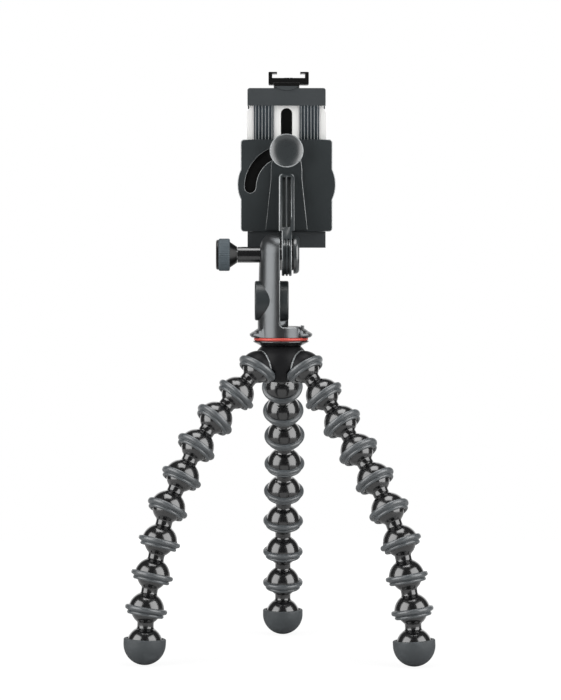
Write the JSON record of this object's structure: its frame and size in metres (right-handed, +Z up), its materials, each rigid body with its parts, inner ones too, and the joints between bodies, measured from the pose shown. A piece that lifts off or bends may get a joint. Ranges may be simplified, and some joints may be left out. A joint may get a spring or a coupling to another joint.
{
  "type": "phone tripod",
  "caption": "Small table tripod with flexible legs of ball-and-socket links and soft rings, and a tilting, turning spring clamp for a phone with an accessory shoe on its sliding jaw.",
  "frame": {"origin": "centre of the footprint on the floor", "axes": "+Z up, -Y towards the clamp's knobs, +X to the right as seen from there"},
  "size_m": [0.1762, 0.1582, 0.3365],
  "materials": {
    "gloss_black": "gloss",
    "grip_rubber": "satin",
    "clamp_plastic": "satin",
    "satin_post": "satin",
    "black_metal": "satin",
    "bare_alloy": "brushed",
    "brass": "satin",
    "steel": "satin",
    "red_trim": "satin"
  },
  "bodies": {
    "hub": {"hub_body": "gloss_black", "hub_socket_rings": "grip_rubber", "platform_disc": "gloss_black", "red_ring": "red_trim", "platform_pad": "grip_rubber", "camera_screw": "steel", "hub_base_cap": "gloss_black"},
    "mount": {"post": "satin_post", "thread_inserts": "brass", "side_boss": "black_metal", "tilt_spacer": "black_metal"},
    "tilt_screw": {"tilt_knob": "black_metal", "tilt_knob_grip": "grip_rubber"},
    "arm_body": {"arm": "clamp_plastic", "tilt_bolt": "steel", "tilt_cap": "clamp_plastic", "friction_washers": "black_metal", "pivot_pin": "steel", "turn_stud": "steel"},
    "turn_lock": {"turn_knob": "clamp_plastic"},
    "clamp": {"clamp_housing": "clamp_plastic", "clamp_cover": "clamp_plastic", "lower_pad": "grip_rubber", "housing_screws": "steel", "jaw_springs": "steel"},
    "jaw": {"slide_plate": "bare_alloy", "upper_jaw": "clamp_plastic", "upper_jaw_pad": "grip_rubber", "cold_shoe": "black_metal", "shoe_screw": "steel"},
    "left_leg_1": {"left_link_1": "gloss_black"},
    "left_leg_2": {"left_link_2": "gloss_black"},
    "left_leg_3": {"left_link_3": "gloss_black"},
    "left_leg_4": {"left_link_4": "gloss_black"},
    "left_leg_5": {"left_link_5": "gloss_black"},
    "left_leg_6": {"left_link_6": "gloss_black"},
    "left_leg_7": {"left_link_7": "gloss_black"},
    "left_leg_8": {"left_link_8": "gloss_black"},
    "left_foot": {"left_foot_stud": "gloss_black", "left_foot_pad": "grip_rubber"},
    "right_leg_1": {"right_link_1": "gloss_black"},
    "right_leg_2": {"right_link_2": "gloss_black"},
    "right_leg_3": {"right_link_3": "gloss_black"},
    "right_leg_4": {"right_link_4": "gloss_black"},
    "right_leg_5": {"right_link_5": "gloss_black"},
    "right_leg_6": {"right_link_6": "gloss_black"},
    "right_leg_7": {"right_link_7": "gloss_black"},
    "right_leg_8": {"right_link_8": "gloss_black"},
    "right_foot": {"right_foot_stud": "gloss_black", "right_foot_pad": "grip_rubber"},
    "rear_leg_1": {"rear_link_1": "gloss_black"},
    "rear_leg_2": {"rear_link_2": "gloss_black"},
    "rear_leg_3": {"rear_link_3": "gloss_black"},
    "rear_leg_4": {"rear_link_4": "gloss_black"},
    "rear_leg_5": {"rear_link_5": "gloss_black"},
    "rear_leg_6": {"rear_link_6": "gloss_black"},
    "rear_leg_7": {"rear_link_7": "gloss_black"},
    "rear_leg_8": {"rear_link_8": "gloss_black"},
    "rear_foot": {"rear_foot_stud": "gloss_black", "rear_foot_pad": "grip_rubber"}
  },
  "joints": [
    {"name": "mount_swivel", "type": "hinge", "parent": "hub", "child": "mount", "pos_m": [0.00103, -0.01953, 0.18365], "axis": [0, 0, 1], "continuous": true},
    {"name": "clamp_tilt", "type": "hinge", "parent": "mount", "child": "arm_body", "pos_m": [0.00103, -0.01953, 0.23105], "axis": [1, 0, 0], "range_deg": [-30, 90]},
    {"name": "clamp_turn", "type": "hinge", "parent": "arm_body", "child": "clamp", "pos_m": [0.00423, -0.00693, 0.26985], "axis": [0, 1, 0], "range_deg": [0, 90]},
    {"name": "jaw_slide", "type": "slide", "parent": "clamp", "child": "jaw", "axis": [0, 0, 1], "range_m": [-0.019, 0.013], "deforming": ["jaw_springs"]},
    {"name": "tilt_knob_turn", "type": "hinge", "parent": "arm_body", "child": "tilt_screw", "pos_m": [-0.02897, -0.01953, 0.23105], "axis": [1, 0, 0], "range_deg": [-450, 0]},
    {"name": "turn_knob_turn", "type": "hinge", "parent": "arm_body", "child": "turn_lock", "pos_m": [0.00423, -0.01353, 0.29085], "axis": [0, 1, 0], "range_deg": [-450, 0]},
    {"name": "left_ball_1", "type": "hinge", "parent": "hub", "child": "left_leg_1", "pos_m": [-0.01231, -0.02723, 0.16605], "axis": [-0.3173, 0.9483, 0], "range_deg": [-35.5, 23.1]},
    {"name": "left_ball_2", "type": "hinge", "parent": "left_leg_1", "child": "left_leg_2", "pos_m": [-0.0246, -0.03134, 0.15148], "axis": [-0.6355, -0.3238, 0.7009], "range_deg": [-35.5, 24.2]},
    {"name": "left_ball_3", "type": "hinge", "parent": "left_leg_2", "child": "left_leg_3", "pos_m": [-0.03677, -0.03755, 0.13757], "axis": [0.515, -0.8572, 0], "range_deg": [-35.8, 24]},
    {"name": "left_ball_4", "type": "hinge", "parent": "left_leg_3", "child": "left_leg_4", "pos_m": [-0.04718, -0.0438, 0.12231], "axis": [-0.7344, -0.4589, 0.5], "range_deg": [-29.5, 28.3]},
    {"name": "left_ball_5", "type": "hinge", "parent": "left_leg_4", "child": "left_leg_5", "pos_m": [-0.05545, -0.04897, 0.10542], "axis": [-0.5736, 0.8192, 0], "range_deg": [-29, 30.9]},
    {"name": "left_ball_6", "type": "hinge", "parent": "left_leg_5", "child": "left_leg_6", "pos_m": [-0.06319, -0.05439, 0.08837], "axis": [0.8428, 0.4672, -0.2672], "range_deg": [-30.1, 24.1]},
    {"name": "left_ball_7", "type": "hinge", "parent": "left_leg_6", "child": "left_leg_7", "pos_m": [-0.06775, -0.05692, 0.06958], "axis": [0.4462, -0.8949, 0], "range_deg": [-32, 28]},
    {"name": "left_ball_8", "type": "hinge", "parent": "left_leg_7", "child": "left_leg_8", "pos_m": [-0.07182, -0.05895, 0.05062], "axis": [0.8823, 0.4303, -0.1908], "range_deg": [-30, 29.8]},
    {"name": "left_ball_9", "type": "hinge", "parent": "left_leg_8", "child": "left_foot", "pos_m": [-0.07517, -0.06058, 0.03147], "axis": [-0.4695, 0.8829, 0], "range_deg": [-22, 37.9]},
    {"name": "right_ball_1", "type": "hinge", "parent": "hub", "child": "right_leg_1", "pos_m": [0.01437, -0.02723, 0.16605], "axis": [-0.3907, -0.9205, 0], "range_deg": [-31.7, 27.8]},
    {"name": "right_ball_2", "type": "hinge", "parent": "right_leg_1", "child": "right_leg_2", "pos_m": [0.02536, -0.0319, 0.15064], "axis": [0.6518, -0.4233, 0.6293], "range_deg": [-23.9, 36.1]},
    {"name": "right_ball_3", "type": "hinge", "parent": "right_leg_2", "child": "right_leg_3", "pos_m": [0.03565, -0.03858, 0.13548], "axis": [0.6293, 0.7771, 0], "range_deg": [-31.1, 28.4]},
    {"name": "right_ball_4", "type": "hinge", "parent": "right_leg_3", "child": "right_leg_4", "pos_m": [0.04488, -0.04605, 0.12001], "axis": [0.6586, -0.4785, 0.5807], "range_deg": [-31.8, 28.1]},
    {"name": "right_ball_5", "type": "hinge", "parent": "right_leg_4", "child": "right_leg_5", "pos_m": [0.05404, -0.05271, 0.10414], "axis": [-0.6561, -0.7547, 0], "range_deg": [-27, 32.8]},
    {"name": "right_ball_6", "type": "hinge", "parent": "right_leg_5", "child": "right_leg_6", "pos_m": [0.06195, -0.05958, 0.08769], "axis": [-0.7603, 0.5128, -0.3987], "range_deg": [-25, 32.6]},
    {"name": "right_ball_7", "type": "hinge", "parent": "right_leg_6", "child": "right_leg_7", "pos_m": [0.06839, -0.06393, 0.06981], "axis": [0.3907, 0.9205, 0], "range_deg": [-41.8, 17.6]},
    {"name": "right_ball_8", "type": "hinge", "parent": "right_leg_7", "child": "right_leg_8", "pos_m": [0.07182, -0.06539, 0.05067], "axis": [-0.9194, 0.3529, -0.1736], "range_deg": [-29.6, 30.4]},
    {"name": "right_ball_9", "type": "hinge", "parent": "right_leg_8", "child": "right_foot", "pos_m": [0.07498, -0.0666, 0.03146], "axis": [-0.4067, -0.9135, 0], "range_deg": [-23.5, 36.5]},
    {"name": "rear_ball_1", "type": "hinge", "parent": "hub", "child": "rear_leg_1", "pos_m": [0.00103, -0.00413, 0.16605], "axis": [0.9986, -0.0523, 0], "range_deg": [-43, 16.8]},
    {"name": "rear_ball_2", "type": "hinge", "parent": "rear_leg_1", "child": "rear_leg_2", "pos_m": [0.0018, 0.01058, 0.15328], "axis": [0.0332, 0.7597, 0.6494], "range_deg": [-29.2, 28.5]},
    {"name": "rear_ball_3", "type": "hinge", "parent": "rear_leg_2", "child": "rear_leg_3", "pos_m": [0.00235, 0.02323, 0.13845], "axis": [-0.9981, 0.061, 0], "range_deg": [-33.5, 26.5]},
    {"name": "rear_ball_4", "type": "hinge", "parent": "rear_leg_3", "child": "rear_leg_4", "pos_m": [0.00307, 0.03495, 0.12288], "axis": [0, 0.891, 0.454], "range_deg": [-30.6, 26.3]},
    {"name": "rear_ball_5", "type": "hinge", "parent": "rear_leg_4", "child": "rear_leg_5", "pos_m": [0.00307, 0.0438, 0.1055], "axis": [0.9994, 0.0349, 0], "range_deg": [-30.5, 29.5]},
    {"name": "rear_ball_6", "type": "hinge", "parent": "rear_leg_5", "child": "rear_leg_6", "pos_m": [0.00276, 0.0528, 0.08821], "axis": [0.0662, -0.946, -0.3173], "range_deg": [-27.8, 29.7]},
    {"name": "rear_ball_7", "type": "hinge", "parent": "rear_leg_6", "child": "rear_leg_7", "pos_m": [0.00232, 0.05897, 0.06971], "axis": [-0.9994, -0.0349, 0], "range_deg": [-36.5, 23.5]},
    {"name": "rear_ball_8", "type": "hinge", "parent": "rear_leg_7", "child": "rear_leg_8", "pos_m": [0.00218, 0.06302, 0.05064], "axis": [0.0171, -0.9815, -0.1908], "range_deg": [-30.2, 29.8]},
    {"name": "rear_ball_9", "type": "hinge", "parent": "rear_leg_8", "child": "rear_foot", "pos_m": [0.00212, 0.06674, 0.0315], "axis": [0.9986, 0.0523, 0], "range_deg": [-20, 39.9]}
  ]
}
